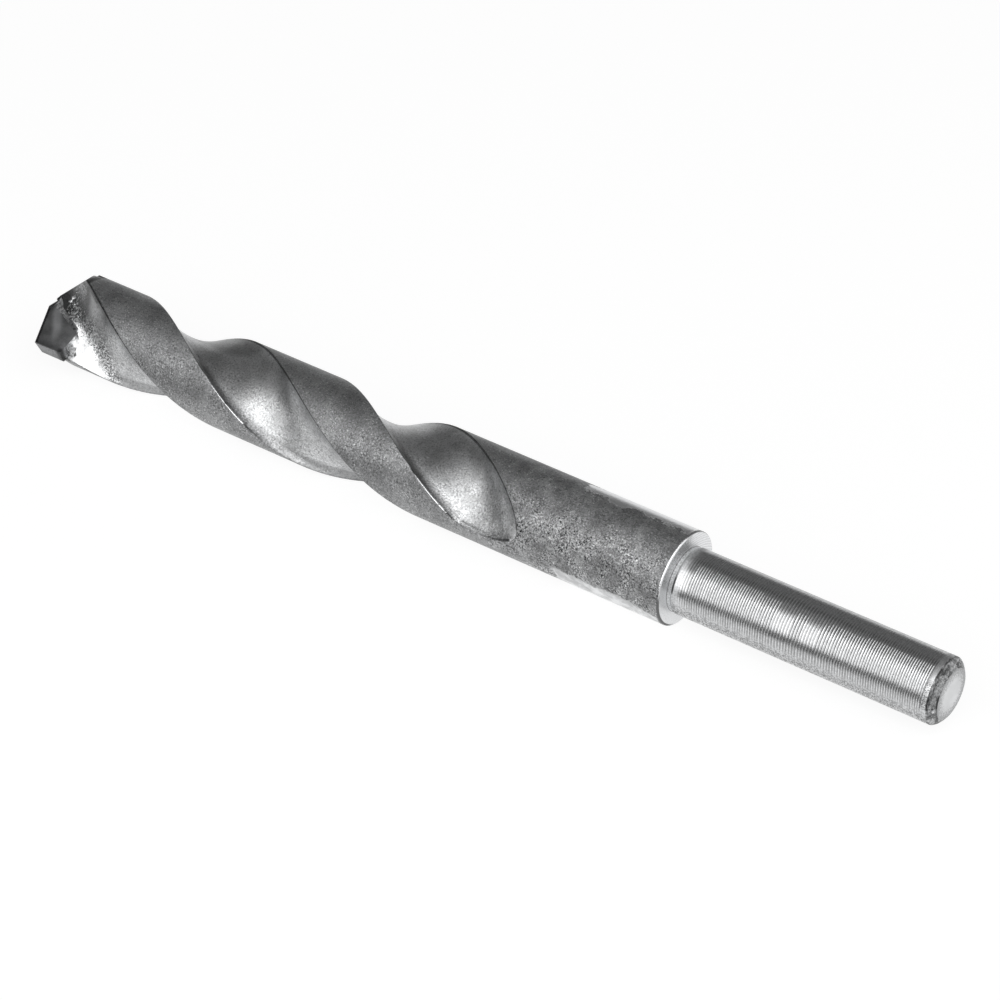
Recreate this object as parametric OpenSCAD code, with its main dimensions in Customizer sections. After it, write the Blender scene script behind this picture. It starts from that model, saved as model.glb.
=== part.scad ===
// Masonry drill bit with a brazed carbide plate, two helical flutes and a reduced round shank.
// The bit lies on its body: the tip points to -X, the shank to +X, and z = 0 is the surface under it.

/* [Overall] */
// Length from the chisel point to the end of the shank
overall_l = 200; // [180:1:260]
// Roll of the bit about its own axis, from the plate standing upright
roll = 106; // [90:1:120]

/* [Body] */
// Diameter of the lands and of the solid body behind the flutes
body_d = 18; // [17:0.1:20]
// Chamfer on the rim of the shoulder
shoulder_chamfer = 0.35; // [0.1:0.05:0.8]
// Length over which the lands taper in to the tip
nose_taper_l = 9.6; // [7:0.1:12]
// How much the radius of the lands loses over that length
nose_taper = 1.1; // [0.5:0.1:1.5]
// Relief of the steel behind each half of the plate
nose_relief = 44; // [38:1:48]
// How far the steel edge stands in front of the line from the point along the roof
nose_proud = 0.17; // [0.05:0.01:0.3]

/* [Flutes] */
// Length of the flutes, measured from the chisel point
flute_l = 115.8; // [90:0.1:130]
// Length over which each flute climbs out to the surface
runout_l = 12.9; // [8:0.1:20]
// Turn that the flute falls behind its helix while it climbs out
runout_lag = 24; // [0:1:30]
// Lead of the helix, right hand
lead = 93.4; // [80:0.1:120]
// Width of each land, as an angle round the axis
land_angle = 80; // [70:1:90]
// Thickness of the core between the two flute floors
core_t = 10; // [9:0.1:11]
// Offset of the flute floor from square to the plate at the point
flute_start = -2.8; // [-8:0.1:8]
// Rounding between the flute floor and the leading wall
wall_round = 0.8; // [0.4:0.1:1]
// Radius of the grinding wheel that thins the core towards the point
gash_r = 20.4; // [16:0.1:30]
// Length over which the leading wall grows behind the thinned core
wall_fade = 6.5; // [4:0.1:10]

/* [Carbide tip] */
// Cutting diameter over the corners of the plate
tip_d = 20; // [19.4:0.1:21]
// Thickness of the plate
plate_t = 2.7; // [2:0.1:3.4]
// Height of the plate along the axis
plate_h = 9.7; // [8:0.1:12]
// Point angle of the roof
point_angle = 138; // [120:1:150]
// Clearance of each flank behind its cutting edge
flank_clearance = 17; // [12:1:20]
// Clearance of the two margins of the plate
margin_clearance = 4; // [1:0.5:6]
// Height of the bevel on the lower corners of the plate
plate_bevel = 0.4; // [0.2:0.1:1]
// Thickness of the braze between the plate and the walls of its slot
braze_t = 0.15; // [0.1:0.01:0.3]

/* [Shank] */
// Diameter of the shank
shank_d = 12.7; // [10:0.1:13]
// Length of the shank
shank_l = 54; // [40:1:70]
// Width of the turned relief at the root of the shank
relief_w = 0.8; // [0.5:0.1:2]
// Depth of that relief
relief_depth = 0.2; // [0.1:0.05:0.5]
// Length of the bevel on the end of the shank
end_bevel_l = 1.4; // [0.8:0.1:2.5]
// Depth of that bevel
end_bevel_depth = 1.65; // [0.8:0.05:2.5]

/* [Hidden] */
body_r = body_d / 2;
tip_r = tip_d / 2;
shank_r = shank_d / 2;
shoulder_z = overall_l - shank_l;
round_steps = 96;
taper_steps = 6;
taper_bulge = 0.41;
taper_middle = 0.58;

// Ground faces of the point: all of them lie roof_turn away from square to the axis
roof_turn = 90 - point_angle / 2;
roof_slope = tan(roof_turn);
overcut = 1;
slot_w = plate_t + 2 * braze_t;
slot_h = plate_h + braze_t;

// Flute section, in a frame whose u axis points out through the middle of the flute
mouth_half = (180 - land_angle) / 2;
heel_u = body_r * cos(mouth_half);
heel_v = -body_r * sin(mouth_half);
floor_u = core_t / 2;
heel_sweep_v = -0.5;
wall_clear = 1;
outer_clear = 3;
outer_r = body_r + outer_clear;
heel_clear = 0.15;
heel_steps = 7;
floor_steps = 4;
wall_steps = 3;
outer_steps = 3;
floor_clear = 0.05;
gash_floor_u = plate_t / 2 - floor_clear;
gash_l = sqrt(2 * gash_r * (floor_u - gash_floor_u));
runout_z = flute_l - runout_l;
runout_lift = body_r - floor_u + floor_clear;
heel_bend = 2;
wall_bend = 4;

// Distance of the flute floor from the axis, before any lift
function floor_at(z) = min(floor_u, gash_floor_u + pow(max(z, 0), 2) / (2 * gash_r));

// Share of the run-out that has passed at z, from 0 to 1
function runout_at(z) = max(0, (z - runout_z) / runout_l);

// Half angle at which the leading wall stands: outside the body along the gash, on the helix behind it
function wall_fade_at(z) = min(1, max(0, 1 - (z - gash_l) / wall_fade));
function wall_half_at(z) = let (open = acos(floor_at(z) / (body_r + wall_clear)), k = wall_fade_at(z))
    mouth_half + (open - mouth_half) * k;

// Heel side: a parabola from just outside the heel edge down to the floor
function heel_points(z) = [for (i = [0 : heel_steps])
    let (share = (1 + heel_clear) * (1 - i / heel_steps))
    [floor_at(z) + (heel_u - floor_at(z)) * share * share,
     heel_sweep_v + (heel_v - heel_sweep_v) * share]];

// Flat floor, from the foot of the heel side to the rounded corner
function floor_points(z) = let (end_v = floor_at(z) * tan(wall_half_at(z)) - wall_round)
    [for (i = [1 : floor_steps - 1]) [floor_at(z), heel_sweep_v + (end_v - heel_sweep_v) * i / floor_steps]];

// Leading side: the floor turns through a rounded corner into a radial wall
function wall_points(z) = let (a = wall_half_at(z),
        corner = [floor_at(z), floor_at(z) * tan(a)],
        start = corner - [0, wall_round],
        finish = corner + wall_round * [cos(a), sin(a)])
    [for (i = [0 : wall_steps]) let (t = i / wall_steps)
        pow(1 - t, 2) * start + 2 * t * (1 - t) * corner + t * t * finish];

// Outer edge of the cutter, well clear of the body
function outer_points(z) = let (a = wall_half_at(z))
    [for (i = [0 : outer_steps]) let (b = a - (a + mouth_half) * i / outer_steps)
        outer_r * [cos(b), sin(b)]];

// Half width of the flute where its lifted floor meets the outside, at the share t of the run-out
function mouth_at(t) = sqrt(max(pow(body_r, 2) - pow(floor_u + runout_lift * t, 2), pow(floor_clear, 2)));

// Lift along the run-out: the edges rise in a straight ramp, the middle in the arc of a round cutter
function lift_at(z, v) = let (t = runout_at(z), bend = v < 0 ? heel_bend : wall_bend,
        inside = max(0, 1 - pow(abs(v) / mouth_at(t), bend)))
    runout_lift * (t - (t - t * t) * inside);

// One closed section of the cutter, lifted along the run-out
function flute_section(z) = let (
        section = concat(heel_points(z), floor_points(z), wall_points(z), outer_points(z)))
    [for (p = section) p + [lift_at(z, p[1]), 0]];

function flute_turn(z) = 90 + flute_start + 360 * z / lead - runout_lag * runout_at(z);

function ring(z) = let (a = flute_turn(z)) [for (p = flute_section(z))
    [p[0] * cos(a) - p[1] * sin(a), p[0] * sin(a) + p[1] * cos(a), z]];

// Stations along the flute: close together at the gash and along the run-out
gash_steps = 14;
helix_steps = 29;
runout_steps = 10;
gash_end = gash_l + wall_fade;
stations = concat([-overcut],
    [for (i = [0 : gash_steps]) gash_end * i / gash_steps],
    [for (i = [1 : helix_steps]) gash_end + (runout_z - gash_end) * i / helix_steps],
    [for (i = [1 : runout_steps]) runout_z + runout_l * i / runout_steps]);

// Solid swept by one flute
module flute_cutter() {
    rings = [for (z = stations) ring(z)];
    n = len(rings[0]);
    m = len(rings);
    sides = [for (j = [0 : m - 2], i = [0 : n - 1])
        let (a = j * n + i, b = j * n + (i + 1) % n, c = a + n, d = b + n)
        each [[a, b, c], [b, d, c]]];
    first = [for (i = [n - 1 : -1 : 0]) i];
    last = [for (i = [0 : n - 1]) (m - 1) * n + i];
    polyhedron(points = [for (r = rings) each r], faces = concat([first], sides, [last]));
}

module flutes() {
    for (k = [0, 180])
        rotate([0, 0, k]) flute_cutter();
}

// Turned profile of the steel, with the radius along x and the distance from the point along y
module turned_profile() {
    polygon(concat(
        [[0, -nose_proud], [body_r - nose_taper, -nose_proud]],
        [for (i = [0 : taper_steps]) nose_side(i / taper_steps)],
        [[body_r, shoulder_z - shoulder_chamfer],
         [body_r - shoulder_chamfer, shoulder_z],
         [shank_r - relief_depth, shoulder_z],
         [shank_r - relief_depth, shoulder_z + relief_w],
         [shank_r, shoulder_z + relief_w + relief_depth],
         [shank_r, overall_l - end_bevel_l],
         [shank_r - end_bevel_depth, overall_l],
         [0, overall_l]]));
}

// Point on the rounded taper of the lands, from the corner of the roof back to the full diameter
function nose_side(t) = let (
        start = [body_r - nose_taper, (body_r - nose_taper) * roof_slope - nose_proud],
        middle = [body_r - nose_taper * taper_bulge, nose_taper_l * taper_middle],
        finish = [body_r, nose_taper_l])
    pow(1 - t, 2) * start + 2 * t * (1 - t) * middle + t * t * finish;

// Everything on or behind a face ground from the edge line at y = edge_y, where the line on the -X
// side crosses the axis at edge_z, falling away towards -Y
module behind_face(edge_y, edge_z, clearance) {
    reach = 2 * overall_l;
    translate([0, edge_y, edge_z])
        rotate([0, roof_turn, 0])
            rotate([-clearance, 0, 0])
                translate([-reach / 2, -reach / 2, 0])
                    cube(reach);
}

// The same face on both halves of the point
module behind_faces(edge_y, edge_z, clearance) {
    intersection() {
        behind_face(edge_y, edge_z, clearance);
        rotate([0, 0, 180]) behind_face(edge_y, edge_z, clearance);
    }
}

// Section of the plate square to the axis, its margins set back behind the cutting corners
module plate_section() {
    lead_x = sqrt(tip_r * tip_r - plate_t * plate_t / 4);
    trail_x = lead_x - plate_t * tan(margin_clearance);
    polygon([[-lead_x, plate_t / 2], [-trail_x, -plate_t / 2],
             [lead_x, -plate_t / 2], [trail_x, plate_t / 2]]);
}

// Outline of the plate seen on its flat side
module plate_outline() {
    polygon([[-tip_r, -overcut], [tip_r, -overcut],
             [tip_r, plate_h - plate_bevel], [tip_r - plate_bevel, plate_h],
             [plate_bevel - tip_r, plate_h], [-tip_r, plate_h - plate_bevel]]);
}

module plate_blank() {
    intersection() {
        translate([0, 0, -overcut]) linear_extrude(plate_h + overcut) plate_section();
        translate([0, plate_t, 0]) rotate([90, 0, 0]) linear_extrude(2 * plate_t) plate_outline();
    }
}

// Plate with its roof: the two flanks meet in the chisel edge, which crosses the axis at z = 0
module plate() {
    intersection() {
        plate_blank();
        behind_faces(plate_t / 2, -plate_t / 2 * tan(flank_clearance) / cos(roof_turn), flank_clearance);
    }
}

module slot() {
    translate([-tip_d, -slot_w / 2, -overcut]) cube([2 * tip_d, slot_w, slot_h + overcut]);
}

// Steel turned, ground at the nose and fluted, before the slot is cut
module fluted_blank() {
    difference() {
        intersection() {
            rotate_extrude($fn = round_steps) turned_profile();
            behind_faces(0, -nose_proud, 0);
            behind_faces(-slot_w / 2, -nose_proud, nose_relief);
        }
        flutes();
    }
}

// Lays the bit down, from a frame with the point at the origin and the shank along +Z
module lay_down() {
    translate([-overall_l / 2, 0, body_r])
        rotate([0, 90, 0])
            rotate([0, 0, roll])
                children();
}

// One steel bar: turned, fluted, slotted for the plate and ground to the point angle
module steel_body() {
    color("#6f7072")
        lay_down()
            difference() {
                fluted_blank();
                slot();
            }
}

// Hard plate across the point, with its two cutting edges
module carbide_tip() {
    color("#505154")
        lay_down() plate();
}

// Film of braze between the plate and the walls and bottom of its slot
module braze_seam() {
    color("#b59a5c")
        lay_down()
            difference() {
                intersection() {
                    fluted_blank();
                    slot();
                }
                plate_blank();
            }
}

steel_body();
carbide_tip();
braze_seam();
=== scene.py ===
import math

import bmesh
import bpy
import numpy as np
from mathutils import Matrix, Vector, noise


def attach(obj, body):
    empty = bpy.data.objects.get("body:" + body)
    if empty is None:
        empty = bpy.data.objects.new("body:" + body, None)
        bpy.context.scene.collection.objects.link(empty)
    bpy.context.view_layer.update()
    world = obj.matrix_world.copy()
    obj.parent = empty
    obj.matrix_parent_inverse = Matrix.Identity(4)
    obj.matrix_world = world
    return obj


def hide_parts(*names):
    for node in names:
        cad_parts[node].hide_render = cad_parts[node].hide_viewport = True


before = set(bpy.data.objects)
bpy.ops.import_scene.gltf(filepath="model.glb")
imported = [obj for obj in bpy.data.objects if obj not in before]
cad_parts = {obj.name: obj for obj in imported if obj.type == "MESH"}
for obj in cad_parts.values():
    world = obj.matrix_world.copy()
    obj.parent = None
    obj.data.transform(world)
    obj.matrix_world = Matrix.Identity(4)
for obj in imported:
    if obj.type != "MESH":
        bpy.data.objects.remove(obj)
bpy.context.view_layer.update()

# Sizes of the solids, in millimetres and degrees, as in the source of the part
OVERALL_L, ROLL = 200.0, 106.0
BODY_R, SHANK_R = 9.0, 6.35
NOSE_TAPER_L, NOSE_TAPER, TAPER_BULGE, TAPER_MIDDLE = 9.6, 1.1, 0.41, 0.58
NOSE_RELIEF, NOSE_PROUD = 44.0, 0.17
FLUTE_L, RUNOUT_L, RUNOUT_LAG, LEAD = 115.8, 12.9, 24.0, 93.4
LAND_ANGLE, FLOOR_U, FLUTE_START, WALL_ROUND = 80.0, 5.0, -2.8, 0.8
GASH_R, WALL_FADE, WALL_CLEAR, FLOOR_CLEAR = 20.4, 6.5, 1.0, 0.05
PLATE_T, PLATE_H, POINT_ANGLE, BRAZE_T = 2.7, 9.7, 138.0, 0.15
SHANK_L, RELIEF_W, RELIEF_DEPTH = 54.0, 0.8, 0.2
END_BEVEL_L, END_BEVEL_DEPTH = 1.4, 1.65
HEEL_SWEEP_V, HEEL_CLEAR, HEEL_BEND, WALL_BEND = -0.5, 0.15, 2, 4
FLOOR_EASE, GASH_ROUND = 1.2, 2.8

ROOF_TURN = math.radians(90 - POINT_ANGLE / 2)
ROOF_SLOPE = math.tan(ROOF_TURN)
PLATE_TURN = math.radians(ROLL - 90)
SHOULDER_Z = OVERALL_L - SHANK_L
BEVEL_Z = OVERALL_L - END_BEVEL_L
MOUTH_HALF = math.radians((180 - LAND_ANGLE) / 2)
HEEL_U = BODY_R * math.cos(MOUTH_HALF)
HEEL_V = -BODY_R * math.sin(MOUTH_HALF)
GASH_FLOOR_U = PLATE_T / 2 - FLOOR_CLEAR
GASH_L = math.sqrt(2 * GASH_R * (FLOOR_U - GASH_FLOOR_U))
RUNOUT_Z = FLUTE_L - RUNOUT_L
RUNOUT_LIFT = BODY_R - FLOOR_U + FLOOR_CLEAR
SLOT_W = PLATE_T + 2 * BRAZE_T
MM = 0.001

# From the frame with the point at the origin and the shank along +Z, in millimetres, to the row frame
LAY_DOWN = (
    Matrix.Translation((-OVERALL_L / 2 * MM, 0, BODY_R * MM))
    @ Matrix.Rotation(math.radians(90), 4, "Y")
    @ Matrix.Rotation(math.radians(ROLL), 4, "Z")
    @ Matrix.Scale(MM, 4)
)


def lerp(a, b, t):
    return a + (b - a) * t


def smoothstep(a, b, x):
    t = np.clip((x - a) / (b - a), 0, 1)
    return t * t * (3 - 2 * t)


def quadratic(start, middle, end, t):
    return (1 - t) ** 2 * start + 2 * t * (1 - t) * middle + t**2 * end


# Shape of the steel. Braze fills the corner behind the plate between these heights: start, full, full, end
FILLED_CORNER = (8.5, 11.5, 14.5, 24.0)
# Points on each part of the section before it is resampled, and the reach of the wall past the body
HEEL_POINTS, FLOOR_POINTS, FILLET_POINTS, WALL_POINTS, WALL_REACH = 60, 30, 14, 24, 3


def floor_at(z):
    """Distance of the flute floor from the axis; the end of the ground gash is eased into the floor."""
    arc = GASH_FLOOR_U + max(z, 0) ** 2 / (2 * GASH_R)
    short = FLOOR_U - arc
    if short >= FLOOR_EASE:
        return arc
    return FLOOR_U if short <= -FLOOR_EASE else FLOOR_U - (short + FLOOR_EASE) ** 2 / (4 * FLOOR_EASE)


def wall_round_at(z):
    """Rounding at the foot of the leading wall: wide where braze fills the corner behind the plate."""
    start, full, full_end, end = FILLED_CORNER
    return lerp(WALL_ROUND, GASH_ROUND, float(smoothstep(start, full, z)) * float(smoothstep(end, full_end, z)))


def runout_at(z):
    return max(0.0, (z - RUNOUT_Z) / RUNOUT_L)


def lift_at(z, v):
    """Lift along the run-out: the edges rise in a straight ramp, the middle in the arc of a round cutter."""
    t = runout_at(z)
    mouth = math.sqrt(max(BODY_R**2 - (FLOOR_U + RUNOUT_LIFT * t) ** 2, FLOOR_CLEAR**2))
    bend = np.where(v < 0, HEEL_BEND, WALL_BEND)
    inside = np.maximum(0, 1 - (np.abs(v) / mouth) ** bend)
    return RUNOUT_LIFT * (t - (t - t * t) * inside)


def wall_half_at(z):
    k = 1 - float(smoothstep(GASH_L, GASH_L + WALL_FADE, z))
    return lerp(MOUTH_HALF, math.acos(floor_at(z) / (BODY_R + WALL_CLEAR)), k)


def flute_turn(z):
    """Matrix that turns rows of points from the flute's own frame at z to the local frame."""
    a = math.radians(90 + FLUTE_START + 360 * z / LEAD - RUNOUT_LAG * runout_at(z))
    return np.array([[math.cos(a), math.sin(a)], [-math.sin(a), math.cos(a)]])


def flute_curve(z):
    """Section of the flute at z, in its own frame, with the places along it where its parts meet."""
    fl, a, wall_round = floor_at(z), wall_half_at(z), wall_round_at(z)
    share = np.linspace(1 + HEEL_CLEAR, 0, HEEL_POINTS)
    heel = np.stack([fl + (HEEL_U - fl) * share**2, HEEL_SWEEP_V + (HEEL_V - HEEL_SWEEP_V) * share], 1)
    end_v = fl * math.tan(a) - wall_round
    floor = np.stack([np.full(FLOOR_POINTS, fl), np.linspace(HEEL_SWEEP_V, end_v, FLOOR_POINTS + 1)[1:]], 1)
    corner = np.array([fl, fl * math.tan(a)])
    out = np.array([math.cos(a), math.sin(a)])
    t = np.linspace(0, 1, FILLET_POINTS + 1)[1:, None]
    fillet = quadratic(corner - [0, wall_round], corner, corner + wall_round * out, t)
    reach = np.linspace(0, BODY_R + WALL_REACH - np.hypot(*fillet[-1]), WALL_POINTS + 1)[1:, None]
    wall = fillet[-1] + np.maximum(reach, 0) * out
    p = np.concatenate([heel, floor, fillet, wall])
    p[:, 0] += lift_at(z, p[:, 1])
    keys = np.cumsum([len(heel), len(floor), len(fillet)]) - 1
    return p, keys


# Outline of the tapered nose, as radius and height
TAPER_CURVE = quadratic(
    np.array([BODY_R - NOSE_TAPER, (BODY_R - NOSE_TAPER) * ROOF_SLOPE - NOSE_PROUD]),
    np.array([BODY_R - NOSE_TAPER * TAPER_BULGE, NOSE_TAPER_L * TAPER_MIDDLE]),
    np.array([BODY_R, NOSE_TAPER_L]), np.linspace(0, 1, 80)[:, None])


def body_radius(z):
    return float(np.interp(z, TAPER_CURVE[:, 1], TAPER_CURVE[:, 0]))


# Points of one flute and land in the finished ring: heel, floor, fillet and wall, then the land
SECTION_PARTS, N_LAND = (24, 12, 7, 4), 36
EDGE_ROUND, SHUT_BELOW, LEAST_SHARE = 0.2, 0.3, 0.004
CORNER_T = np.array([0.25, 0.5, 0.75])[:, None]


def resample(p, s, at):
    return np.stack([np.interp(at, s, p[:, 0]), np.interp(at, s, p[:, 1])], 1)


def lengths_along(p):
    return np.concatenate([[0], np.cumsum(np.hypot(*np.diff(p, axis=0).T))])


def half_section(z, radius):
    """One flute and the land after it, in the flute's own frame; None if the flute is shut."""
    p, keys = flute_curve(z)
    r = np.hypot(p[:, 0], p[:, 1])
    inside = np.flatnonzero(r < radius)
    if not len(inside):
        return None
    first, last = inside[0], inside[-1]

    def crossing(i, j):
        q = p[i] + (p[j] - p[i]) * ((radius - r[i]) / (r[j] - r[i]))
        return q * radius / np.hypot(*q)

    def on_body(a):
        return radius * np.array([math.cos(a), math.sin(a)])

    start = crossing(first - 1, first) if first > 0 else p[0]
    end = crossing(last + 1, last)
    curve = np.concatenate([[start], p[first:last + 1], [end]])
    s = lengths_along(curve)
    total = s[-1]
    if total < SHUT_BELOW:
        return None
    round_l = min(EDGE_ROUND, total / 4)
    meet = [float(np.clip(s[np.clip(k - first + 1, 0, len(s) - 1)], round_l, total - round_l)) for k in keys]
    marks = np.maximum.accumulate(np.array([round_l] + meet + [total - round_l]))
    lengths = np.maximum(np.diff(marks), LEAST_SHARE * total)
    marks = round_l + np.concatenate([[0], np.cumsum(lengths)]) * (total - 2 * round_l) / lengths.sum()
    at = [np.linspace(marks[i], marks[i + 1], n + 1)[:-1] for i, n in enumerate(SECTION_PARTS)]
    middle = resample(curve, s, np.concatenate(at + [[marks[-1]]]))
    a0, a1 = math.atan2(start[1], start[0]), math.atan2(end[1], end[0])
    step = round_l / radius
    heel_edge = quadratic(on_body(a0 - step), start, middle[0], CORNER_T)
    wall_edge = quadratic(middle[-1], end, on_body(a1 + step), CORNER_T)
    land = np.linspace(a1 + step, a0 + math.pi - step, N_LAND)
    land = radius * np.stack([np.cos(land), np.sin(land)], 1)
    return np.concatenate([heel_edge, middle, wall_edge, land])


def fluted_ring(z):
    half = half_section(z, body_radius(z))
    if half is None:
        return None
    half = half @ flute_turn(z)
    xy = np.concatenate([half, -half])
    return np.column_stack([xy, np.full(len(xy), z)])


def round_ring(angles, radius, z):
    return np.column_stack([radius * np.cos(angles), radius * np.sin(angles), np.full(len(angles), z)])


# Turned face: rounding of its rim, radii of the first and last turning line, their number and depth
RIM_ROUND, RIM_POINTS = 0.35, 6
FACE_FROM_R, FACE_TO_R, FACE_LINES, FACE_LINE_DEPTH = BODY_R - 0.55, SHANK_R + 0.06, 19, 0.018
BODY_END_Z = SHOULDER_Z - 0.6
# Grooves of the shank: pitch at some heights, its spread, the depth, and where in the pitch the flat bottom lies
GROOVES_FROM, GROOVES_TO, GROOVED_TO = SHOULDER_Z + 1.6, BEVEL_Z - 1.2, BEVEL_Z - 0.3
GROOVE_AT, GROOVE_PITCH = (150, 163, 167, 177, 181, 198), (0.5, 0.5, 0.59, 0.59, 0.52, 0.46)
PITCH_SPREAD, GROOVE_DEPTH, GROOVE_BOTTOM = (0.985, 1.015), (0.062, 0.07), (0.36, 0.62)
GROOVE_GROWS = (GROOVES_FROM - 1.5, GROOVES_FROM + 3.0)
# The grooves are deep on the side that faces these angles (start, full, full, end) and shallow elsewhere
DEEP_SIDE, SHALLOW = (88, 110, 168, 192), 0.3
# Worn bevel: height from its start and depth of the worn edge; share of the way and dip of each step; fullness
BEVEL_EDGE = ((-0.16, 0.01), (-0.08, 0.07), (0.02, 0.08), (0.12, 0.13))
BEVEL_STEPS = ((0.22, 0.04), (0.36, 0.0), (0.42, 0.06), (0.60, 0.01), (0.76, 0.0), (0.82, 0.07), (0.92, 0.02))
BEVEL_FULL = 0.17
END_RINGS, END_RING_DEPTH = (0.9, 0.8, 0.7, 0.6, 0.45, 0.3, 0.1), 0.01


def shoulder_profile():
    """(z, radius) over the rim, down the turned face and through the relief at the root of the shank."""
    pts = []
    for a in np.radians(np.linspace(0, 90, RIM_POINTS)):
        pts.append((SHOULDER_Z - RIM_ROUND * (1 - math.sin(a)), BODY_R - RIM_ROUND * (1 - math.cos(a))))
    for i, r in enumerate(np.linspace(FACE_FROM_R, FACE_TO_R, FACE_LINES)):
        pts.append((SHOULDER_Z - FACE_LINE_DEPTH * (i % 2), r))
    root, relief_end = SHANK_R - RELIEF_DEPTH, SHOULDER_Z + RELIEF_W
    pts += [(SHOULDER_Z, root + 0.05), (SHOULDER_Z + 0.04, root), (relief_end, root)]
    return pts + [(relief_end + 0.05, root + 0.02), (relief_end + RELIEF_DEPTH, SHANK_R - 0.015),
                  (relief_end + RELIEF_DEPTH + 0.1, SHANK_R)]


def groove_profile():
    rng = np.random.default_rng(7)
    z = GROOVES_FROM
    pts = [(z, SHANK_R)]
    while z < GROOVES_TO:
        step = float(np.interp(z, GROOVE_AT, GROOVE_PITCH)) * rng.uniform(*PITCH_SPREAD)
        depth = rng.uniform(*GROOVE_DEPTH) * float(smoothstep(*GROOVE_GROWS, z))
        pts += [(z + step * k, SHANK_R - depth) for k in GROOVE_BOTTOM] + [(z + step, SHANK_R)]
        z += step
    return pts


def end_profile():
    flat_r = SHANK_R - END_BEVEL_DEPTH
    pts = [(BEVEL_Z + dz, SHANK_R - depth) for dz, depth in BEVEL_EDGE]
    for t, dip in BEVEL_STEPS:
        full = BEVEL_FULL * math.sin(math.pi * t)
        pts.append((lerp(BEVEL_Z, OVERALL_L, t), lerp(SHANK_R, flat_r, t) - dip + full))
    pts += [(OVERALL_L - 0.035, flat_r + 0.05), (OVERALL_L, flat_r - 0.05)]
    return pts + [(OVERALL_L - END_RING_DEPTH * (i % 2), flat_r * k) for i, k in enumerate(END_RINGS)]


# Heights of the rings along the flutes, and of those behind them where the points spread out evenly
RING_STEPS = ((-1, 20, 0.4), (20, RUNOUT_Z, 0.7), (RUNOUT_Z, FLUTE_L, 0.3))
EVEN_STEPS = (0.12, 0.5, 1.2, 2.2, 3.6, 5.2, 7.0, 9.0, 11.5, 14.0, 18.0, 23.0)
EVEN_FROM, EVEN_TO = 0.3, 14.0


def steel_rings():
    rings = []
    for z in np.concatenate([np.arange(*step) for step in RING_STEPS]):
        ring = fluted_ring(z)
        if ring is None:
            break
        rings.append(ring)
    closed_z = rings[-1][0, 2]
    angles = np.unwrap(np.arctan2(rings[-1][:, 1], rings[-1][:, 0]))
    even = angles.mean() + np.linspace(-math.pi, math.pi, len(angles), endpoint=False)
    for z in EVEN_STEPS:
        spread = lerp(angles, even, float(smoothstep(EVEN_FROM, EVEN_TO, z)))
        rings.append(round_ring(spread, BODY_R, closed_z + z))
    rings.append(round_ring(even, BODY_R, BODY_END_Z))
    even = even[::2]
    facing = (np.degrees(even) + ROLL - 90) % 360
    start, full, full_end, end = DEEP_SIDE
    kept = lerp(SHALLOW, 1.0, smoothstep(start, full, facing) * smoothstep(end, full_end, facing))
    for z, r in shoulder_profile() + groove_profile() + end_profile():
        if GROOVES_FROM < z < GROOVED_TO:
            r = SHANK_R - (SHANK_R - r) * kept
        rings.append(round_ring(even, r, z))
    return rings


def mesh_object(name, verts, faces, world=True):
    mesh = bpy.data.meshes.new(name)
    v = [LAY_DOWN @ Vector(p) for p in verts] if world else verts
    mesh.from_pydata([tuple(p) for p in v], [], faces)
    mesh.validate()
    mesh.update()
    obj = bpy.data.objects.new(name, mesh)
    bpy.context.scene.collection.objects.link(obj)
    return obj


def tube_faces(counts):
    """Faces between rings of the given numbers of points; a ring may have half as many as the one before."""
    faces, base = [], 0
    for n, after in zip(counts, counts[1:]):
        top = base + n
        if n == after:
            faces += [(base + i, base + (i + 1) % n, top + (i + 1) % n, top + i) for i in range(n)]
        else:
            for i in range(after):
                a, b, c = base + 2 * i, base + 2 * i + 1, base + (2 * i + 2) % n
                d, e = top + i, top + (i + 1) % after
                faces += [(a, b, d), (b, e, d), (b, c, e)]
        base = top
    return faces


def closed_tube(name, rings):
    """Rings joined into a closed solid, with a vertex in the middle of each end."""
    counts = [len(r) for r in rings]
    n, last_n = counts[0], counts[-1]
    verts = np.concatenate(rings)
    faces = tube_faces(counts)
    first, last = len(verts), len(verts) + 1
    base = len(verts) - last_n
    verts = np.concatenate([verts, [[0, 0, rings[0][0, 2]]], [[0, 0, rings[-1][0, 2]]]])
    faces += [(first, (i + 1) % n, i) for i in range(n)]
    faces += [(last, base + i, base + (i + 1) % last_n) for i in range(last_n)]
    return mesh_object(name, verts, faces)


def box_cutter(low, high, place):
    """A box given in its own frame, placed in the local frame by a matrix."""
    corners = [Vector((x, y, z)) for z in (low[2], high[2])
               for y in (low[1], high[1]) for x in (low[0], high[0])]
    faces = [(0, 2, 3, 1), (4, 5, 7, 6), (0, 1, 5, 4), (2, 6, 7, 3), (0, 4, 6, 2), (1, 3, 7, 5)]
    return mesh_object("cutter", [place @ c for c in corners], faces)


def face_place(edge_y, clearance, half):
    """Frame of a ground face of the point: its z axis points into the metal."""
    return (Matrix.Rotation(half, 4, "Z") @ Matrix.Translation((0, edge_y, -NOSE_PROUD))
            @ Matrix.Rotation(ROOF_TURN, 4, "Y") @ Matrix.Rotation(-math.radians(clearance), 4, "X"))


def apply_modifiers(obj):
    graph = bpy.context.evaluated_depsgraph_get()
    mesh = bpy.data.meshes.new_from_object(obj.evaluated_get(graph))
    obj.modifiers.clear()
    old = obj.data
    obj.data = mesh
    bpy.data.meshes.remove(old)


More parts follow.
